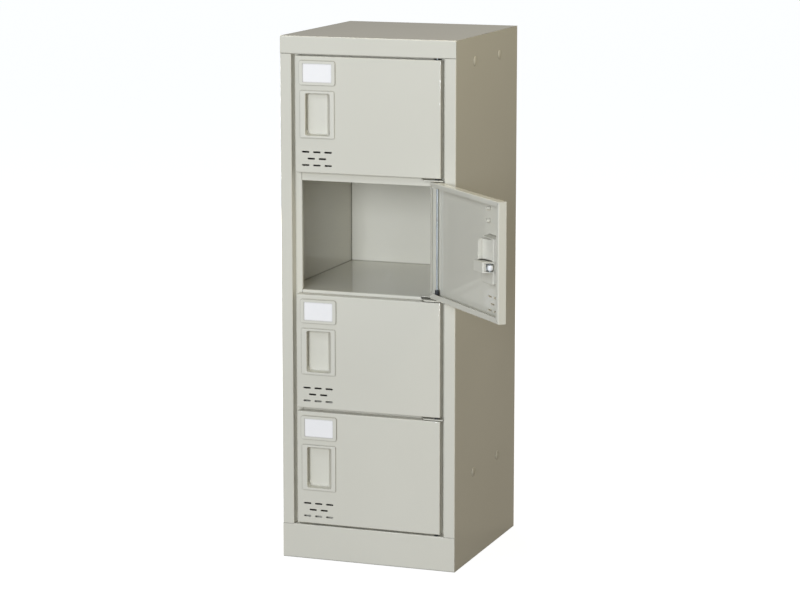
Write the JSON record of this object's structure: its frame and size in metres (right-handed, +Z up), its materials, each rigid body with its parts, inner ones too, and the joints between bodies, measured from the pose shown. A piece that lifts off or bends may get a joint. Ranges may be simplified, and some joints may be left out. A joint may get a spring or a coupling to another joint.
{
  "type": "shoe locker",
  "caption": "Narrow steel shoe locker: a column of compartments, each with a flush swing door, card frame, recessed finger pull, roller catch and vent slots; a door stands open",
  "frame": {"origin": "on the floor under the middle of the cabinet's width and depth", "axes": "X across the front to the hinge side, Y from the front to the back, Z up"},
  "size_m": [0.4574, 0.5169, 0.9],
  "materials": {
    "body_paint": "semi_gloss",
    "body_plastic": "satin",
    "zinc": "plated",
    "black_plastic": "matte",
    "card": "matte",
    "nylon": "satin"
  },
  "bodies": {
    "cabinet": {"left_side_panel": "body_paint", "right_side_panel": "body_paint", "top_panel": "body_paint", "back_panel": "body_paint", "kick_plate": "body_paint", "base_rail": "body_paint", "shelf_1": "body_paint", "shelf_2": "body_paint", "shelf_3": "body_paint", "bottom_shelf": "body_paint", "hinge_rod": "zinc", "rod_clips": "zinc", "side_plugs": "body_plastic"},
    "door_1": {"door_1_panel": "body_paint", "door_1_handle": "body_plastic", "door_1_label_frame": "body_plastic", "door_1_card": "card", "door_1_bushes": "black_plastic", "door_1_catch_case": "body_plastic", "door_1_catch_spring": "zinc"},
    "catch_1": {"door_1_catch_slider": "zinc"},
    "roller_1": {"door_1_catch_roller": "nylon"},
    "door_2": {"door_2_panel": "body_paint", "door_2_handle": "body_plastic", "door_2_label_frame": "body_plastic", "door_2_card": "card", "door_2_bushes": "black_plastic", "door_2_catch_case": "body_plastic", "door_2_catch_spring": "zinc"},
    "catch_2": {"door_2_catch_slider": "zinc"},
    "roller_2": {"door_2_catch_roller": "nylon"},
    "door_3": {"door_3_panel": "body_paint", "door_3_handle": "body_plastic", "door_3_label_frame": "body_plastic", "door_3_card": "card", "door_3_bushes": "black_plastic", "door_3_catch_case": "body_plastic", "door_3_catch_spring": "zinc"},
    "catch_3": {"door_3_catch_slider": "zinc"},
    "roller_3": {"door_3_catch_roller": "nylon"},
    "door_4": {"door_4_panel": "body_paint", "door_4_handle": "body_plastic", "door_4_label_frame": "body_plastic", "door_4_card": "card", "door_4_bushes": "black_plastic", "door_4_catch_case": "body_plastic", "door_4_catch_spring": "zinc"},
    "catch_4": {"door_4_catch_slider": "zinc"},
    "roller_4": {"door_4_catch_roller": "nylon"}
  },
  "joints": [
    {"name": "door_1_swing", "type": "hinge", "parent": "cabinet", "child": "door_1", "pos_m": [0.122, -0.1605, 0.76875], "axis": [0, 0, 1], "range_deg": [0, 135.5]},
    {"name": "catch_1_slide", "type": "slide", "parent": "door_1", "child": "catch_1", "axis": [1, 0, 0], "range_m": [0, 0.003], "stiffness_N_per_m": 800, "deforming": ["door_1_catch_spring"]},
    {"name": "roller_1_spin", "type": "hinge", "parent": "catch_1", "child": "roller_1", "pos_m": [-0.1185, -0.142, 0.7612], "axis": [0, 0, 1], "continuous": true},
    {"name": "door_2_swing", "type": "hinge", "parent": "cabinet", "child": "door_2", "pos_m": [0.122, -0.1605, 0.56625], "axis": [0, 0, 1], "range_deg": [-134, 1.5]},
    {"name": "catch_2_slide", "type": "slide", "parent": "door_2", "child": "catch_2", "axis": [-0.6947, 0.7193, 0], "range_m": [0, 0.003], "stiffness_N_per_m": 800, "deforming": ["door_2_catch_spring"]},
    {"name": "roller_2_spin", "type": "hinge", "parent": "catch_2", "child": "roller_2", "pos_m": [0.27576, -0.34635, 0.5587], "axis": [0, 0, 1], "continuous": true},
    {"name": "door_3_swing", "type": "hinge", "parent": "cabinet", "child": "door_3", "pos_m": [0.122, -0.1605, 0.36375], "axis": [0, 0, 1], "range_deg": [0, 135.5]},
    {"name": "catch_3_slide", "type": "slide", "parent": "door_3", "child": "catch_3", "axis": [1, 0, 0], "range_m": [0, 0.003], "stiffness_N_per_m": 800, "deforming": ["door_3_catch_spring"]},
    {"name": "roller_3_spin", "type": "hinge", "parent": "catch_3", "child": "roller_3", "pos_m": [-0.1185, -0.142, 0.3562], "axis": [0, 0, 1], "continuous": true},
    {"name": "door_4_swing", "type": "hinge", "parent": "cabinet", "child": "door_4", "pos_m": [0.122, -0.1605, 0.16125], "axis": [0, 0, 1], "range_deg": [0, 135.5]},
    {"name": "catch_4_slide", "type": "slide", "parent": "door_4", "child": "catch_4", "axis": [1, 0, 0], "range_m": [0, 0.003], "stiffness_N_per_m": 800, "deforming": ["door_4_catch_spring"]},
    {"name": "roller_4_spin", "type": "hinge", "parent": "catch_4", "child": "roller_4", "pos_m": [-0.1185, -0.142, 0.1537], "axis": [0, 0, 1], "continuous": true}
  ]
}
